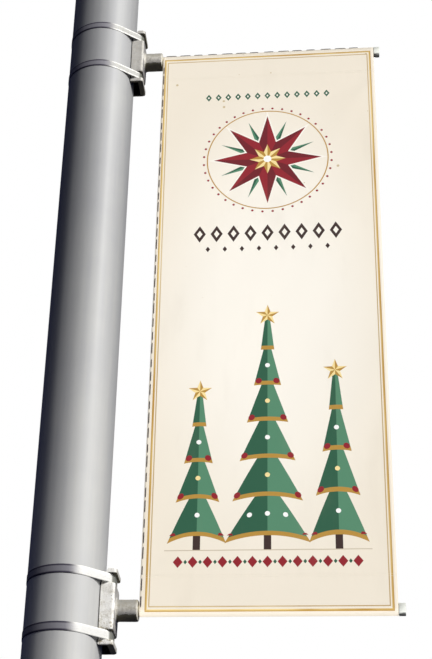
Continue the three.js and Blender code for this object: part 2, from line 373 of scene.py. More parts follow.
make_floor()
make_sky()
cloth_pieces = bpy.data.collections.new("cloth_pieces")
all_but_cloth = bpy.data.collections.new("all_but_cloth")
for row in LAMPS:
    lamp = make_lamp(*row)
    if lamp.data.type == "SUN":
        lamp.light_linking.receiver_collection = cloth_pieces
        lamp.light_linking.blocker_collection = cloth_pieces
    else:
        lamp.light_linking.receiver_collection = all_but_cloth
bpy.data.objects["back_lamp"].visible_glossy = False


def light_as_cloth(piece):
    """Gives a piece the cloth's own lamps and takes the metal's two lamps off it."""
    cloth_pieces.objects.link(piece)
    all_but_cloth.objects.link(piece)
    all_but_cloth.collection_objects[-1].light_linking.link_state = "EXCLUDE"


print("floor is", FLOOR_DEPTH, "m below the pole's lower end")

# %% [markdown]
# ## Sizes that the pieces share
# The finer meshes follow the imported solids, so their sizes are read from the solids' boxes. Only what a box
# can't tell, such as a depth of pocket, is written here again.

# %% Shared sizes
banner_low, banner_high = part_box("banner")
rod_low, rod_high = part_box("rod_upper")
pole_low, pole_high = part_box("pole")
LEFT = banner_low.x
RIGHT = banner_high.x
WIDTH = RIGHT - LEFT
MIDDLE = (LEFT + RIGHT) / 2
ROD_RADIUS = (rod_high.z - rod_low.z) / 2
UPPER_ROD = (rod_high.z + rod_low.z) / 2
LOWER_ROD = sum(corner.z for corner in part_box("rod_lower")) / 2
POLE_RADIUS = (pole_high.y - pole_low.y) / 2
CLEAR = 0.0003
CLOTH = 0.0009
PACKED_CLOTH = 0.0012
POCKET_DEPTH = 0.075
POCKET_OVERLAP = 0.012
FRONT_FACE = ROD_RADIUS + CLEAR + PACKED_CLOTH
BANNER_TOP = UPPER_ROD + FRONT_FACE
BANNER_FOOT = LOWER_ROD - FRONT_FACE
print("banner", round(WIDTH * 1000), "x", round((BANNER_TOP - BANNER_FOOT) * 1000), "mm")
print("pole", round(POLE_RADIUS * 2000), "mm across")


def new_piece(name, points, faces, material, slot, *nodes):
    """A mesh piece that rides on the one rigid body and may stand for nodes of the frame."""
    mesh = bpy.data.meshes.new(name)
    mesh.from_pydata([tuple(p) for p in points], [], faces)
    mesh.validate()
    return settle(add_object(name, mesh), material, slot, *nodes)


def settle(piece, material, slot, *nodes):
    piece.data.polygons.foreach_set("use_smooth", [True] * len(piece.data.polygons))
    piece.data.materials.clear()
    piece.data.materials.append(material)
    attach(piece, "root")
    if slot in ("banner_cloth", "cap_plastic"):
        light_as_cloth(piece)
    if nodes:
        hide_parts(*nodes)
    print(piece.name, "has", len(piece.data.polygons), "faces")
    return piece


def ring_faces(rings, around, closed_along=False):
    """Four-cornered faces between closed rings of points."""
    steps = rings if closed_along else rings - 1
    faces = []
    for ring in range(steps):
        here = ring * around
        there = ((ring + 1) % rings) * around
        for i in range(around):
            after = (i + 1) % around
            faces.append((here + i, here + after, there + after, there + i))
    return faces


def end_faces(rings, around):
    """The two faces that close a row of rings."""
    last = (rings - 1) * around
    return [tuple(range(around))[::-1], tuple(range(last, last + around))]


def turns(count):
    """Even angles all the way round."""
    return [2 * math.pi * k / count for k in range(count)]


# %% [markdown]
# ## The banner's cloth
# The real thing is one strip of coated cloth. Each end goes over a rod and is turned back on itself, and two
# rows of stitching close the pocket. So the mesh is one strip too: a path seen from the side, down the
# front and round both rods, with the cloth's thickness laid on one side of it. A simulation would only
# stretch what the rods hold stretched, so the slack is given: a shallow belly, long slow waves,
# pulls that run from the corners, and small puckers beside the stitching.

# %% The cloth's path from the side
ARC_STEPS = 20
FLAP_STEPS = 14
PANEL_STEPS = 250
CLOTH_COLUMNS = 112
BELLY = 0.0025
RIPPLE = 0.0011
PANEL_LOW = LOWER_ROD + POCKET_DEPTH + POCKET_OVERLAP
PANEL_HIGH = UPPER_ROD - POCKET_DEPTH - POCKET_OVERLAP


def pocket_path(side, axis):
    """Points (y, z) of the cloth's outer face, from the rod's front to the flap's sewn end."""
    seam = -FRONT_FACE + 2 * CLOTH
    away = math.hypot(seam, POCKET_DEPTH)
    leave = math.atan2(-POCKET_DEPTH, seam) + math.acos(FRONT_FACE / away)
    points = []
    for i in range(1, ARC_STEPS + 1):
        turn = math.pi + (leave - math.pi) * i / ARC_STEPS
        points.append((FRONT_FACE * math.cos(turn), axis + side * FRONT_FACE * math.sin(turn)))
    from_y, from_z = points[-1]
    join = axis - side * POCKET_DEPTH
    for i in range(1, FLAP_STEPS + 1):
        share = i / FLAP_STEPS
        points.append((from_y + (seam - from_y) * share, from_z + (join - from_z) * share))
    points += [(seam, axis - side * (POCKET_DEPTH + POCKET_OVERLAP * i / 4)) for i in range(1, 5)]
    return points


def cloth_path():
    """The whole strip, from the sewn end of the upper flap to that of the lower one."""
    panel = [UPPER_ROD + (LOWER_ROD - UPPER_ROD) * i / PANEL_STEPS for i in range(PANEL_STEPS + 1)]
    front = [(-FRONT_FACE, z) for z in panel]
    return pocket_path(1, UPPER_ROD)[::-1] + front + pocket_path(-1, LOWER_ROD)


path = np.array(cloth_path())

# %% [markdown]
# The rods pull hardest at the pockets' ends, so faint creases fan out from the four corners. Each is a
# soft ridge or hollow that fades with distance. The puckers sit where thread draws the cloth in.

# %% How far the sheet stands back at a point
CREASES = [
    # corner's side, corner's end, slope of the crease, length, height
    (-1, 1, 0.55, 0.34, 0.0010),
    (-1, 1, 1.40, 0.26, -0.0007),
    (1, 1, 0.70, 0.30, 0.0009),
    (1, 1, 1.90, 0.40, -0.0006),
    (-1, -1, 0.90, 0.30, 0.0008),
    (1, -1, 0.60, 0.28, -0.0008),
    (1, -1, 1.60, 0.36, 0.0009),
]
CREASE_WIDTH = 0.016
PUCKER_PITCH = 0.031
PUCKER_HEIGHT = 0.00010


def crease_height(x, z):
    total = np.zeros_like(x)
    for side, end, slope, reach, height in CREASES:
        along_x = (x - (LEFT if side < 0 else RIGHT)) * -side
        along_z = ((PANEL_LOW if end < 0 else PANEL_HIGH) - z) * end
        size = math.hypot(1.0, slope)
        along = (along_x + slope * along_z) / size
        across = (slope * along_x - along_z) / size
        width = CREASE_WIDTH * (0.5 + 2.0 * np.clip(along / reach, 0, 1))
        fade = np.clip(along / 0.05, 0, 1) * np.clip(1 - along / reach, 0, 1) ** 1.5
        total += height * fade * np.exp(-(across / width) ** 2)
    return total


def set_back(x, z):
    """The sheet's depth behind its flat front at (x, z), in metres."""
    over = (x - LEFT) / WIDTH
    up = np.clip((z - PANEL_LOW) / (PANEL_HIGH - PANEL_LOW), 0, 1)
    away = np.sin(np.pi * up) ** 2
    waves = np.sin(2 * np.pi * (1.5 * over + 0.8 * up)) + 0.6 * np.sin(2 * np.pi * (2.2 * up - over))
    slow = away * (BELLY * np.sin(np.pi * over) + RIPPLE * waves)
    soft = np.clip(up / 0.04, 0, 1) * np.clip((1 - up) / 0.04, 0, 1)
    small = 0.0003 * np.sin(2 * np.pi * (4.3 * over + 1.1 * up)) * np.sin(2 * np.pi * 5.7 * up)
    seam = np.minimum(np.abs(z - PANEL_LOW), np.abs(z - PANEL_HIGH))
    wander = x / PUCKER_PITCH + 0.35 * np.sin(x * 37.0)
    pucker = PUCKER_HEIGHT * np.exp(-(seam / 0.022) ** 2) * np.sin(2 * np.pi * wander)
    return slow + soft * (small + crease_height(x, z)) + pucker


# %% [markdown]
# The strip gets its second face by stepping inwards from each point of the path, and the two faces are
# joined round all four edges, so that the cloth is a closed skin with a real thickness.

# %% Build the strip
def build_cloth(material):
    count = len(path)
    along = np.gradient(path, axis=0)
    along /= np.linalg.norm(along, axis=1)[:, None]
    inwards = np.stack([-along[:, 1], along[:, 0]], axis=1)
    columns = LEFT + WIDTH * np.arange(CLOTH_COLUMNS + 1) / CLOTH_COLUMNS
    x = np.repeat(columns[:, None], count, axis=1)
    zeros = np.zeros_like(x)
    back = set_back(x, path[:, 1] + zeros)
    layers = []
    for depth in (0.0, CLOTH):
        y, z = (path + inwards * depth).T
        layers.append(np.stack([x, y + back, z + zeros], axis=-1).reshape(-1, 3))
    points = np.concatenate(layers)
    shift = (CLOTH_COLUMNS + 1) * count
    faces = []
    for c in range(CLOTH_COLUMNS):
        for r in range(count - 1):
            a, b = c * count + r, (c + 1) * count + r
            faces.append((a, b, b + 1, a + 1))
            faces.append((a + shift, a + 1 + shift, b + 1 + shift, b + shift))
    for r in range(count - 1):
        a, b = r, CLOTH_COLUMNS * count + r
        faces.append((a, a + 1, a + 1 + shift, a + shift))
        faces.append((b, b + shift, b + 1 + shift, b + 1))
    for c in range(CLOTH_COLUMNS):
        a, b = c * count, (c + 1) * count
        faces.append((a, a + shift, b + shift, b))
        a, b = a + count - 1, b + count - 1
        faces.append((a, b, b + shift, a + shift))
    cloth = new_piece("banner_cloth", points, faces, material, "banner_cloth", "banner")


# %% [markdown]
# ## The print
# The cloth is cream, with a warm glow in its middle, a double gold border, and print in green, deep red,
# dark brown and gold. The motifs here are plain traditional ones: an eight-pointed quilt star in a ring,
# rows of diamonds, and three fir trees. Each is a signed distance, so its edge stays sharp however near one
# looks, and each is laid over the colours beneath it with a Mix node. The border's left side leans by 8 mm,
# because the cloth was not cut quite true to the print. Small ochre specks are strewn over the upper half.

# %% Inks and the shapes of the print
CREAM = dye(243, 233, 214)
CREAM_GLOW = dye(255, 249, 236)
GOLD = dye(186, 142, 58)
GOLD_PALE = dye(250, 226, 158)
RED = dye(146, 22, 36)
RED_DARK = dye(112, 14, 28)
GREEN = dye(38, 92, 66)
GREEN_LIGHT = dye(84, 138, 106)
BROWN = dye(58, 38, 34)
WHITE = dye(255, 254, 250)
TAN = dye(205, 190, 165)


def lay_star(ground, x, z, middle, height, points, tip, waist, ink, other_ink, rim):
    """A star with an ink on each half of its points, and a pale rim round it."""
    step = 2 * math.pi / points
    across = x - middle
    up = z - height
    reach = length_of(across, up)
    turn = up.math("ARCTAN2", across, up) % step - step / 2
    off = step / 2 - abs(turn)
    along = reach * cosine(off)
    aside = reach * sine(off)
    waist_along = waist * math.cos(step / 2)
    waist_aside = waist * math.sin(step / 2)
    size = math.hypot(waist_along - tip, waist_aside)
    inside = ((waist_along - tip) * aside - waist_aside * (along - tip)) * (1 / size)
    if rim:
        ground = lay(ground, inside + rim, CREAM_GLOW)
    return lay(ground, inside, edge(turn, 0.002).between(ink, other_ink))


def diamond_row(x, z, height, number, pitch, half_width, half_height):
    """A row of diamonds about the banner's middle."""
    across = abs((x - MIDDLE + number * pitch / 2) % pitch - pitch / 2)
    rise = abs(z - height)
    inside = (1 - across * (1 / half_width) - rise * (1 / half_height)) * min(half_width, half_height)
    return least(inside, (number / 2) * pitch - abs(x - MIDDLE))


def lay(ground, inside, ink, strength=1.0):
    mask = edge(inside)
    return (mask if strength == 1.0 else mask * strength).between(ground, ink)


# %% The ground, the glow and the border
BORDER_LEFT = 0.0122
BORDER_RIGHT = 0.0113
BORDER_TOP = 0.0235
BORDER_FOOT = 0.0097
BORDER_LEAN = 0.0046
INNER_SIDE = 0.0072
INNER_END = 0.0095


def print_ground(place, x, z):
    far = length_of((x - MIDDLE) * (1 / 0.42), (z - 1.02) * (1 / 0.86))
    ground = ease(far, 1.0, 0.25).between(CREAM, CREAM_GLOW)
    flat = place.node("ShaderNodeCombineXYZ", None, {0: x, 1: z})
    specks = spots(flat, 22.0, 0.13, 0.0040 * ease(z, 0.95, 1.30), "2D")
    return lay(ground, specks, dye(196, 172, 120), 0.75)


def print_border(ground, place, x, z):
    left = x - (LEFT + BORDER_LEFT) + BORDER_LEAN * (z - 1.0)
    side = least(left, (RIGHT - BORDER_RIGHT) - x)
    end = least((BANNER_TOP - BORDER_TOP) - z, z - (BANNER_FOOT + BORDER_FOOT))
    outer = least(side, end)
    inner = least(side - INNER_SIDE, end - INNER_END)
    sheen = cloud(stretched(place, 3.0, 1.0, 1.0), 2.2, 2.0)
    gold = (ease(outer, -0.0028, 0.0030) * ease(sheen, 0.30, 0.62)).between(GOLD, GOLD_PALE)
    ground = lay(ground, 0.0027 - abs(outer), gold)
    thin = ease(sheen, 0.35, 0.75).between(dye(182, 148, 88), dye(214, 186, 128))
    return lay(ground, 0.0014 - abs(inner), thin, 0.90)


# %% The star, the diamonds and the trees
STAR_HEIGHT = 1.520
STARS = [
    # points, tip, waist, inks of a point's two halves, rim
    (16, 0.140, 0.052, GREEN, GREEN_LIGHT, 0),
    (8, 0.150, 0.062, RED, RED_DARK, 0.004),
    (8, 0.050, 0.026, GOLD, GOLD_PALE, 0),
]
RING_RADIUS = 0.168
RING_BEADS = 40
TREE_FOOT = 0.385
TRUNK = 0.038
FOOT_LINE = TREE_FOOT - TRUNK
FOOT_ROW = FOOT_LINE - 0.030
SKIRT_TAPER = 0.70
LIGHT_RISE = 0.55
TREES = [
    # middle, height, half width, tiers
    (MIDDLE - 0.172, 0.400, 0.072, 4),
    (MIDDLE + 0.172, 0.455, 0.072, 4),
    (MIDDLE, 0.625, 0.104, 6),
]
TREE_STAR = (5, 0.032, 0.013, GOLD, GOLD_PALE, 0)
DIAMOND_ROWS = [
    # height, number, pitch, half width, half height, ink
    (1.745, 13, 0.028, 0.0085, 0.0125, GREEN),
    (1.745, 13, 0.028, 0.0030, 0.0045, CREAM_GLOW),
    (1.272, 9, 0.046, 0.0165, 0.0270, BROWN),
    (1.272, 9, 0.046, 0.0075, 0.0120, CREAM_GLOW),
    (1.222, 8, 0.046, 0.0060, 0.0090, BROWN),
    (FOOT_ROW, 13, 0.036, 0.0120, 0.0150, RED),
    (FOOT_ROW, 12, 0.036, 0.0045, 0.0060, GREEN),
]


def print_star(ground, x, z):
    for star in STARS:
        ground = lay_star(ground, x, z, MIDDLE, STAR_HEIGHT, *star)
    reach = length_of(x - MIDDLE, z - STAR_HEIGHT)
    ground = lay(ground, 0.011 - reach, WHITE)
    ground = lay(ground, 0.0016 - abs(reach - RING_RADIUS), GOLD)
    turn = z.math("ARCTAN2", z - STAR_HEIGHT, x - MIDDLE)
    step = 2 * math.pi / RING_BEADS
    bead = 0.0034 - length_of(reach - RING_RADIUS - 0.010, (turn % step - step / 2) * (RING_RADIUS + 0.010))
    return lay(ground, bead, RED)


def print_tree(ground, x, z, middle, height, half_width, tiers):
    across = abs(x - middle)
    droop = across * across * (0.020 / half_width**2)
    rise = (z - TREE_FOOT + droop) * (tiers / height)
    tier = rise.math("FLOOR", rise)
    within = rise - tier
    hem = (tiers - tier) * (half_width / tiers)
    skirt = hem * (1 - within * SKIRT_TAPER) - across
    body = least(least(skirt, z - TREE_FOOT + droop), TREE_FOOT + height - z)
    trunk = least(0.009 - across, least(TREE_FOOT - z + 0.01, z - TREE_FOOT + TRUNK))
    ground = lay(ground, trunk, BROWN)
    ground = lay(ground, body, edge(x - middle, 0.002).between(GREEN, GREEN_LIGHT))
    trim = least(body, (0.11 - within) * (height / tiers))
    ground = lay(ground, trim, GOLD)
    rise_size = within * (height / tiers)
    bead = 0.0080 - length_of(hem - across - 0.012, rise_size - 0.0125)
    ground = lay(ground, least(least(bead, hem - 0.030), z - TREE_FOOT), RED)
    pitch = 0.044
    aside = (across + pitch / 2) % pitch - pitch / 2
    spot = 0.0062 - length_of(aside, rise_size - LIGHT_RISE * height / tiers)
    skirt_there = hem * (1 - LIGHT_RISE * SKIRT_TAPER)
    spot = least(least(spot, z - TREE_FOOT), skirt_there - (across - aside) - 0.014)
    ground = lay(ground, spot, edge(tier % 2 - 0.5, 0.1).between(WHITE, GOLD_PALE))
    return lay_star(ground, x, z, middle, TREE_FOOT + height, *TREE_STAR)


def print_rows(ground, x, z):
    """The thin line under the trees, and every row of diamonds."""
    ground = lay(ground, least(0.0012 - abs(z - FOOT_LINE), 0.250 - abs(x - MIDDLE)), TAN)
    for *row, ink in DIAMOND_ROWS:
        ground = lay(ground, diamond_row(x, z, *row), ink)
    return ground


# %% [markdown]
# ## The cloth's surface
# Banner cloth is a plain weave of stout yarn, coated and printed on its front. Up close the yarns cross in
# little cushions 0.9 mm wide, and the coating leaves it matt. The print shows through faintly on the back,
# where the cloth is bare, so one function makes both faces. How far forward a face lies and which way it
# looks set the print's strength.

# %% Cloth finish
YARN = 0.0009


def cloth_finish():
    material = new_finish("printed_cloth")
    place = start(material)
    x, y, z = map(place.part, "XYZ")
    colour = print_ground(place, x, z)
    colour = print_star(colour, x, z)
    for tree in TREES:
        colour = print_tree(colour, x, z, *tree)
    colour = print_rows(colour, x, z)
    colour = print_border(colour, place, x, z)
    plain = cloud(place, 14.0).between(dye(240, 230, 211), dye(233, 221, 199))
    looks_back = start(material, "Normal").part("Y")
    show = edge(-y - FRONT_FACE + 0.0075, 0.0002) * ease(looks_back, 0.30, -0.10)
    colour = (show * 0.74 + 0.26).between(plain, colour)
    grime = cloud(stretched(place, 1.0, 1.0, 0.25), 11.0, 5.0, 0.6)
    colour = (ease(grime, 0.52, 0.85) * 0.10).between(colour, dye(180, 165, 140))
    over = sine(x * (math.pi / YARN)) * sine(z * (math.pi / YARN))
    uneven = cloud(place, 240.0, 2.0)
    bumps = relief(over * 0.5 + uneven * 0.6, 0.00005)
    return set_finish(
        material,
        base_color=colour,
        roughness=0.62 + 0.12 * uneven,
        normal=bumps,
        specular_ior_level=0.30,
        sheen_weight=0.08,
        sheen_roughness=0.5,
    )


build_cloth(cloth_finish())

# %% [markdown]
# ## Thread
# Two rows of lockstitch close each pocket, in thread as pale as the cloth. A dark thread runs in long
# stitches beside the left edge and along the top fold. A stitch is a little bowed tube that dips into the
# cloth at both ends. The pockets' stitches make two meshes and the dark ones a third.

# %% Stitch meshes
def tube(points, radius, around):
    """A closed tube through the points, thinner at both ends."""
    rings = []
    count = len(points)
    for i, point in enumerate(points):
        ahead = points[min(i + 1, count - 1)] - points[max(i - 1, 0)]
        side = ahead.orthogonal().normalized()
        other = ahead.cross(side).normalized()
        thick = radius * (0.35 if i in (0, count - 1) else 1.0)
        for turn in turns(around):
            rings.append(point + (side * math.cos(turn) + other * math.sin(turn)) * thick)
    return rings, ring_faces(count, around) + end_faces(count, around)


def join_tubes(name, runs, radius, material, around):
    points, faces = [], []
    for run in runs:
        ring, new_faces = tube(run, radius, around)
        faces += [tuple(len(points) + i for i in face) for face in new_faces]
        points += ring
    new_piece(name, points, faces, material, "banner_cloth")


def front_depth(x, z):
    return -FRONT_FACE + float(set_back(np.array([x]), np.array([z]))[0])


def stitch_run(x_from, x_to, z, y_of, out):
    """One stitch along X: it dips in at both ends and stands out by most of its thickness between."""
    run = []
    for share, proud in ((0.0, -0.7), (0.2, 0.2), (0.5, 0.4), (0.8, 0.2), (1.0, -0.7)):
        x = x_from + (x_to - x_from) * share
        run.append(Vector((x, y_of(x, z) + out * proud * SEWING_THREAD, z)))
    return run


# %% Thread finish
def thread_finish(name, dark, light):
    material = new_finish(name)
    place = start(material)
    x, z = map(place.part, "XZ")
    ply = sine((x + z) * (2 * math.pi / 0.0007))
    fuzz = cloud(place, 900.0)
    colour = (ply * 0.25 + 0.5 * fuzz + 0.1).between(dark, light)
    bumps = relief(ply, 0.00006)
    return set_finish(material, base_color=colour, roughness=0.7, normal=bumps, sheen_weight=0.1)


STITCH = 0.0034
STITCH_GAP = 0.0002
SEWING_THREAD = 0.00024
SEAM_ROWS = (0.0035, 0.0090)


def sew_pockets(material):
    count = int(WIDTH / STITCH)
    for name, y_of, out in (
        ("pocket_stitches_front", front_depth, -1.0),
        ("pocket_stitches_back", lambda x, z: front_depth(x, z) + 2 * CLOTH, 1.0),
    ):
        runs = []
        for axis, side in ((UPPER_ROD, 1), (LOWER_ROD, -1)):
            for row in SEAM_ROWS:
                z = axis - side * (POCKET_DEPTH + row)
                for i in range(1, count):
                    x = LEFT + i * STITCH
                    ends = (x + STITCH_GAP, x + STITCH - STITCH_GAP)
                    runs.append(stitch_run(*ends, z, y_of, out))
        join_tubes(name, runs, SEWING_THREAD, material, 5)


sew_pockets(thread_finish("sewing_thread", dye(238, 228, 209), dye(248, 240, 224)))

# %% The dark edge stitches
EDGE_PITCH = 0.0410
EDGE_STITCH = 0.0350
EDGE_THREAD = 0.0013
EDGE_INSET = 0.0036
EDGE_BOW = ((0.0, -0.6), (0.12, 0.3), (0.5, 0.5), (0.88, 0.3), (1.0, -0.6))
TOP_LEAN = math.radians(132)


def edge_stitches(material):
    runs = []
    z = PANEL_LOW - POCKET_DEPTH - 0.010
    while z + EDGE_STITCH < UPPER_ROD:
        length = EDGE_STITCH * (0.86 + 0.16 * math.sin(len(runs) * 2.3))
        run = []
        for share, proud in EDGE_BOW:
            height = z + length * share
            depth = front_depth(LEFT, height) - proud * EDGE_THREAD
            run.append(Vector((LEFT + EDGE_INSET, depth, height)))
        runs.append(run)
        z += EDGE_PITCH
    x = LEFT + 0.006
    while x + EDGE_STITCH < RIGHT - 0.004:
        length = EDGE_STITCH * (0.9 + 0.12 * math.sin(len(runs) * 1.7))
        run = []
        for share, proud in EDGE_BOW:
            reach = FRONT_FACE + proud * EDGE_THREAD
            height = UPPER_ROD + reach * math.sin(TOP_LEAN)
            run.append(Vector((x + length * share, reach * math.cos(TOP_LEAN), height)))
        runs.append(run)
        x += EDGE_PITCH
    join_tubes("edge_stitches", runs, EDGE_THREAD, material, 8)


edge_stitches(thread_finish("edge_thread", dye(22, 12, 18), dye(58, 36, 42)))

# %% [markdown]
# ## Cast saddles
# A sand casting has no sharp edge: the metal rounds off at each corner and the sand leaves its grain. The
# packed saddle has true flats and sharp edges, so its shape is rebuilt in even small faces, smoothed until
# the edges are a millimetre or so round, and then pushed in and out a little by noise.

# %% Casting mesh
CAST_STEP = 0.0011
CAST_SMOOTHING = 3
CAST_NOISE = [
    # blobs to the metre, height
    (85.0, 0.00035),
    (420.0, 0.00016),
]
CAST_SHRINK = 0.0002


def cast_copy(node, material):
    shape = bmesh.new()
    shape.from_mesh(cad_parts[node].data)
    bmesh.ops.remove_doubles(shape, verts=shape.verts, dist=1e-6)
    mesh = bpy.data.meshes.new(f"{node}_cast")
    shape.to_mesh(mesh)
    shape.free()
    piece = add_object(f"{node}_cast", mesh)
    even = piece.modifiers.new("even", "REMESH")
    even.mode = "VOXEL"
    even.voxel_size = CAST_STEP
    round_off = piece.modifiers.new("round_off", "SMOOTH")
    round_off.factor = 0.5
    round_off.iterations = CAST_SMOOTHING
    bpy.context.view_layer.update()
    seen = piece.evaluated_get(bpy.context.evaluated_depsgraph_get())
    finer = bpy.data.meshes.new_from_object(seen)
    piece.modifiers.clear()
    piece.data = finer
    places = np.zeros(len(finer.vertices) * 3)
    normals = places.copy()
    finer.vertices.foreach_get("co", places)
    finer.vertex_normals.foreach_get("vector", normals)
    places = places.reshape(-1, 3)
    rough = np.zeros(len(places))
    for scale, height in CAST_NOISE:
        rough += np.array([noise.noise(Vector(p) * scale) for p in places]) * height
    places += normals.reshape(-1, 3) * (rough[:, None] - CAST_SHRINK)
    finer.vertices.foreach_set("co", places.ravel())
    finer.update()
    settle(piece, material, "cast_metal", node)


# %% [markdown]
# Bare cast aluminium is a pale grey, with a fine peppering where grains of sand stuck. Shade is painted into
# the colour: undersides, the inside of the open channel and the narrow gap beside the pole are painted dark.
# So the finish asks which way the surface looks and how near the pole it is. The face towards the banner is
# painted darker, as painted shade. The boss is painted darker where it looks up and lighter where it turns
# down, with a pale painted highlight line above its painted dark underside. The lower casting is painted the
# brighter one, as painted light, and has brown stains near its foot.

# %% Casting finish
CHANNEL_HALF = 0.0295
CHANNEL_FRONT = 0.1130
BOSS_START = 0.1270


def at_lower_saddle(z):
    """0 at the upper saddle and its bands, 1 at the lower ones."""
    return ease(z, 1.6, 0.4)


def cast_finish():
    material = new_finish("sand_casting")
    place = start(material)
    x, y, z = map(place.part, "XYZ")
    looks_out, looks_up = map(start(material, "Normal").part, "XZ")
    looks_down = -looks_up
    mottle = cloud(place, 44.0, 6.0, 0.68)
    blotch = cloud(place, 120.0, 4.0, 0.62)
    pepper = cloud(place, 520.0, 2.0)
    worn = ease(mottle * 0.6 + blotch * 0.4, 0.37, 0.54)
    high = worn.between(dye(180, 178, 172), dye(198, 196, 191))
    low = worn.between(dye(214, 210, 198), dye(255, 254, 250))
    lower_one = at_lower_saddle(z)
    # Painted light: the lower casting is painted brighter than the upper one.
    colour = lower_one.between(high, low)
    on_boss = edge(x - BOSS_START, 0.004)
    # Painted shade and light: the boss is painted darker where it looks up and lighter where it turns down.
    boss_shading_and_stains = ease(looks_down, -0.6, 0.5).between(dye(150, 148, 142), dye(240, 236, 226))
    boss_shading_and_stains = (ease(blotch, 0.42, 0.62) * 0.35).between(boss_shading_and_stains, dye(150, 144, 126))
    colour = on_boss.between(colour, boss_shading_and_stains)
    colour = (ease(pepper, 0.58, 0.70) * 0.30).between(colour, dye(120, 116, 102))
    stained = ease(blotch, 0.48, 0.62) * (ease(z, 0.20, 0.13) * 0.70 + 0.14)
    colour = stained.between(colour, dye(150, 136, 100))
    # Painted shade: faces that look along +X, towards the banner, are painted darker, except on the boss.
    colour = (ease(looks_out, 0.70, 0.98) * (1 - on_boss) * 0.85).between(colour, dye(86, 84, 92))
    colour = lay(colour, spots(place, 85.0, 0.40, 0.0014), dye(60, 56, 48), 0.8)
    # Painted shade: the narrow gap beside the pole and the inside of the channel are painted nearly black.
    beside_pole = ease(length_of(x, y) - POLE_RADIUS, 0.0034, 0.0016)
    in_channel = edge(least(CHANNEL_HALF - abs(y), CHANNEL_FRONT - x) + 0.0008, 0.0012)
    painted_recess_shade = most(beside_pole, in_channel)
    # Painted shade: faces that look down are painted dark olive, darker the more they look down.
    turned = looks_down + 0.25 * (blotch - 0.5)
    painted_underside_shade = ease(turned, 0.58, 0.95 - 0.27 * on_boss) * 0.94
    # Painted highlight: a pale line on the boss just above its painted dark underside.
    painted_highlight_line = ease(turned, 0.44, 0.56) * on_boss * 0.5
    painted_underside_colour = ease(looks_down, 0.62, 0.92).between(dye(134, 130, 104), dye(100, 94, 72))
    colour = painted_underside_shade.between(painted_highlight_line.between(colour, dye(255, 252, 238)), painted_underside_colour)
    colour = painted_recess_shade.between(colour, dye(26, 24, 18))
    painted_shade_mask = most(painted_recess_shade, painted_underside_shade)
    bumps = relief(cloud(place, 900.0, 3.0) + 0.8 * pepper + 1.5 * blotch, 0.00014)
    return set_finish(
        material,
        base_color=colour,
        metallic=(0.18 - 0.12 * lower_one) * (1 - painted_shade_mask),
        roughness=0.74 - 0.08 * worn + 0.15 * painted_shade_mask,
        normal=bumps,
    )


casting = cast_finish()
for node in ("bracket_upper", "bracket_lower"):
    cast_copy(node, casting)

# %% [markdown]
# ## Bands
# The bands are stainless strip with both edges rolled in, pulled tight round the pole. Each is swept again
# along its solid's path: round the back of the pole, off it in two straight runs, and across the saddle's
# groove. The rolled edges look up and down, and on the shaded side a dark line along them is painted into
# the colour, as painted shade.

# %% Band mesh
band_low, band_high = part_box("band_upper_top")
BAND_GAP = 0.0003
BAND_THICK = 0.0009
BAND_ROLL = 0.0030
BAND_HALF = (band_high.z - band_low.z) / 2
BAND_FRONT = band_high.x - BAND_GAP - BAND_THICK
BAND_CORNER = 0.017
BAND_SEAT_HALF = 0.0335
BAND_BACK_STEPS = 150
BAND_CORNER_STEPS = 18


def band_path():
    """Points on the band's seat with their outward directions, all the way round."""
    corner_x = BAND_FRONT - BAND_CORNER
    corner_y = BAND_SEAT_HALF - BAND_CORNER
    away = math.hypot(corner_x, corner_y)
    leave = math.atan2(corner_y, corner_x) + math.acos((POLE_RADIUS - BAND_CORNER) / away)
    stops = [
        (0.0, 0.0, POLE_RADIUS, leave, 2 * math.pi - leave, BAND_BACK_STEPS),
        (corner_x, -corner_y, BAND_CORNER, -leave, 0.0, BAND_CORNER_STEPS),
        (corner_x, corner_y, BAND_CORNER, 0.0, leave, BAND_CORNER_STEPS),
    ]
    path = []
    for x, y, radius, turn_from, turn_to, steps in stops:
        for i in range(steps + 1):
            turn = turn_from + (turn_to - turn_from) * i / steps
            out = Vector((math.cos(turn), math.sin(turn), 0.0))
            path.append((Vector((x, y, 0.0)) + out * radius, out))
    return path


def fill_straights(path, step=0.006):
    """The same path with points added on its straight runs."""
    full = []
    for (here, out), (there, next_out) in zip(path, path[1:] + path[:1]):
        parts = max(1, round((there - here).length / step))
        for i in range(parts):
            share = i / parts
            full.append((here.lerp(there, share), out.lerp(next_out, share).normalized()))
    return full


def band_section():
    """The strip's section: (outwards, up) pairs, flat inside, with its edges rolled in outside."""
    upper = []
    for i in range(7):
        share = i / 6
        upper.append((BAND_THICK * (1 - 0.75 * share**2), BAND_HALF - BAND_ROLL * (1 - share)))
    upper += [(0.0, BAND_HALF - 0.0002)]
    return [(out, -up) for out, up in reversed(upper)] + [(BAND_THICK, 0.0)] + upper


def make_band(node, material):
    low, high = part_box(node)
    height = (low.z + high.z) / 2
    section = band_section()
    points = []
    around = fill_straights(band_path())
    for place, out in around:
        for proud, up in section:
            spot = place + out * (BAND_GAP + proud)
            points.append((spot.x, spot.y, height + up))
    faces = ring_faces(len(around), len(section), closed_along=True)
    new_piece(f"{node}_strip", points, faces, material, "band_steel", node)
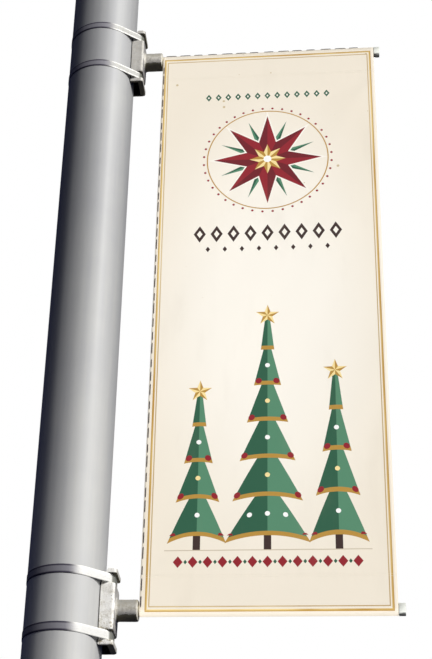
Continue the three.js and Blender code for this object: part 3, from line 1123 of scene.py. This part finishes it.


# %% [markdown]
# The rolled strip has a fine grain that runs round the pole, and a ripple where it was pulled over the
# paint. Its straight runs are painted bright, as a painted highlight, most of all along the rolled edges,
# and carry dull stains. The part that lies on the pole is painted a darker purplish grey, as painted shade,
# and the lower bands are painted the brighter pair, as painted light. The distance from the nearest band's
# middle tells where the edges are.

# %% Band finish
def band_finish(heights):
    material = new_finish("rolled_strip")
    place = start(material)
    x, z = map(place.part, "XZ")
    from_middle = abs(z - heights[0])
    for height in heights[1:]:
        from_middle = least(from_middle, abs(z - height))
    grain = cloud(stretched(place, 12.0, 12.0, 900.0), 1.0, 4.0, 0.6)
    ripple = cloud(stretched(place, 150.0, 150.0, 60.0), 1.0, 2.0)
    stain = cloud(stretched(place, 1.0, 1.0, 2.5), 150.0, 5.0, 0.7)
    dull = ease(stain, 0.46, 0.66)
    straight = ease(x, 0.020, 0.055)
    lower_one = at_lower_saddle(z)
    rim = ease(from_middle, BAND_HALF - 0.0060, BAND_HALF - 0.0030)
    # Painted highlight and light: straight runs painted bright, brighter on the lower bands and at the rolled
    # edges.
    bright = lower_one.between(dye(152, 152, 149), dye(218, 218, 216))
    bright = (rim * 0.8).between(bright, dye(226, 226, 222))
    bright = (dull * (0.5 - 0.38 * lower_one)).between(bright, dye(120, 119, 114))
    # Painted shade: on the pole the strip is painted purplish grey, with darker rolled edges.
    shaded = rim.between(dye(130, 129, 137), dye(56, 53, 68))
    colour = straight.between(shaded, bright)
    # Painted shade: where the strip crosses the saddle's front it is painted dark.
    colour = (ease(x, 0.1140, 0.1180) * 0.80).between(colour, dye(88, 90, 78))
    bumps = relief(ripple, 0.00022, relief(grain, 0.00005))
    return set_finish(material, base_color=colour, metallic=0.15, roughness=0.52 + 0.12 * dull, normal=bumps)


BANDS = [f"band_{place}_{end}" for place in ("upper", "lower") for end in ("top", "low")]
strip = band_finish([sum(corner.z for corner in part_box(node)) / 2 for node in BANDS])
for node in BANDS:
    make_band(node, strip)

# %% [markdown]
# ## Caps and rods
# A soft white cap is pushed on each rod's free end. It is turned from a section with a rounded rim, a dished
# face and a small gate mark in the middle, where the mould was filled. The rods are pulled glass-fibre with
# lengthwise threads under the resin. Next to nothing of them shows, so their solids keep their shape.

# %% Cap mesh and finish
CAP_SIDES = 72
CAP_ROUND = 0.0016


def turned_along_x(section, sides):
    """Points and faces of a shape turned round X, from (distance along X, radius) pairs."""
    points = []
    for along, radius in section:
        for turn in turns(sides):
            points.append((along, radius * math.cos(turn), radius * math.sin(turn)))
    return points, ring_faces(len(section), sides) + end_faces(len(section), sides)


def make_cap(node, material):
    low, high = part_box(node)
    radius = (high.z - low.z) / 2
    axis = (high.z + low.z) / 2
    end, mouth = high.x, low.x
    inner = ROD_RADIUS + CLEAR
    floor = end - (radius - inner)
    rounding = []
    for i in range(6):
        turn = math.pi / 2 * i / 5
        rounding.append((end - CAP_ROUND * (1 - math.sin(turn)), radius - CAP_ROUND * (1 - math.cos(turn))))
    section = [
        (floor, 0.0002), (floor, inner), (mouth, inner), (mouth, radius - 0.0004), (mouth + 0.0004, radius),
        *rounding, (end - 0.0001, radius * 0.70), (end - 0.0005, radius * 0.62), (end - 0.0005, 0.0022),
        (end - 0.0002, 0.0018), (end - 0.0002, 0.0002),
    ]
    points, faces = turned_along_x(section, CAP_SIDES)
    points = [(x, y, z + axis) for x, y, z in points]
    new_piece(f"{node}_moulded", points, faces, material, "cap_plastic", node)


def cap_finish():
    material = new_finish("white_plastic")
    place = start(material)
    dirt = cloud(place, 90.0, 4.0)
    looks_down = -start(material, "Normal").part("Z")
    colour = (ease(dirt, 0.45, 0.75) * 0.4).between(dye(238, 240, 230), dye(206, 206, 192))
    # Painted shade: each cap is painted nearly black where it looks down.
    colour = (ease(looks_down + 0.2 * (dirt - 0.5), 0.64, 0.84) * 0.96).between(colour, dye(22, 21, 18))
    bumps = relief(cloud(place, 1400.0, 2.0), 0.00003)
    return set_finish(material, base_color=colour, roughness=0.38 + 0.2 * dirt, normal=bumps)


plastic = cap_finish()
for node in ("cap_upper", "cap_lower"):
    make_cap(node, plastic)

# %% Rod finish
def rod_finish():
    material = new_finish("pulled_fibre")
    fibres = cloud(stretched(start(material), 6.0, 900.0, 900.0), 1.0, 3.0)
    colour = fibres.between(dye(196, 188, 160), dye(232, 226, 204))
    bumps = relief(fibres, 0.00004)
    return set_finish(material, base_color=colour, roughness=0.42, normal=bumps, coat_weight=0.2)


fibre = rod_finish()
for node in ("rod_upper", "rod_lower"):
    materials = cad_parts[node].data.materials
    materials.clear()
    materials.append(fibre)

# %% [markdown]
# ## Pole
# The pole is drawn metal tube with satin grey paint. Real tube is never quite round: the draw leaves long
# faint flats that bend reflections into soft upright stripes, so the finer tube gets flats a tenth of a
# millimetre deep. Its two cut ends have small filed chamfers. The paint has an eggshell surface and faint
# rain streaks, and it is painted lighter towards the foot, as painted light.

# %% Pole mesh
POLE_SIDES = 224
POLE_ROWS = 90
POLE_WALL = 0.005
POLE_CHAMFER = 0.0007


def tube_radius(turn, height):
    flats = 0.00005 * math.sin(7 * turn + 0.6) + 0.00004 * math.sin(11 * turn)
    flats += 0.00002 * math.sin(23 * turn)
    return POLE_RADIUS + flats + 0.00006 * math.sin(3.1 * height + 2 * turn)


def make_pole(material):
    low, high = pole_low.z, pole_high.z
    chamfer = POLE_CHAMFER
    heights = [low + chamfer + (high - low - 2 * chamfer) * i / POLE_ROWS for i in range(POLE_ROWS + 1)]
    section = [(0.0, height) for height in heights]
    section += [(-chamfer, high), (-POLE_WALL + chamfer, high), (-POLE_WALL, high - chamfer)]
    section += [(-POLE_WALL, low + chamfer), (-POLE_WALL + chamfer, low), (-chamfer, low)]
    points = []
    for inset, height in section:
        for turn in turns(POLE_SIDES):
            radius = tube_radius(turn, height) + inset
            points.append((radius * math.cos(turn), radius * math.sin(turn), height))
    faces = ring_faces(len(section), POLE_SIDES, closed_along=True)
    new_piece("pole_tube", points, faces, material, "pole_paint", "pole")


# %% Pole finish
def pole_finish():
    material = new_finish("satin_paint")
    place = start(material)
    streaks = cloud(stretched(place, 1.0, 1.0, 0.05), 60.0, 4.0, 0.6)
    patches = cloud(place, 5.0, 5.0, 0.6)
    shade = ease(patches * 0.5 + streaks * 0.5, 0.3, 0.7)
    paint_near_top = shade.between(dye(155, 156, 159), dye(165, 166, 166))
    painted_light_near_foot = shade.between(dye(189, 190, 191), dye(200, 200, 198))
    # Painted light: the paint is lighter towards the foot.
    colour = ease(place.part("Z"), 1.5, -0.3).between(paint_near_top, painted_light_near_foot)
    colour = (ease(streaks, 0.62, 0.8) * 0.10).between(colour, dye(146, 142, 134))
    skin = relief(cloud(place, 420.0, 2.0), 0.00002)
    return set_finish(
        material, base_color=colour, metallic=0.38, roughness=0.66 + 0.06 * streaks, normal=skin,
        coat_weight=0.06, coat_roughness=0.30
    )


make_pole(pole_finish())

# %% [markdown]
# ## How far the finer meshes grow
# The finer meshes may stand a few millimetres proud of the imported solids and no more. The last line prints
# by how much, in millimetres, on each side of the box.

# %% Print how far the meshes grew
shown_low, shown_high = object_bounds()
grown = (*(cad_low - shown_low), *(shown_high - cad_high))
print("grown by (mm)", [round(v * 1000, 2) for v in grown])
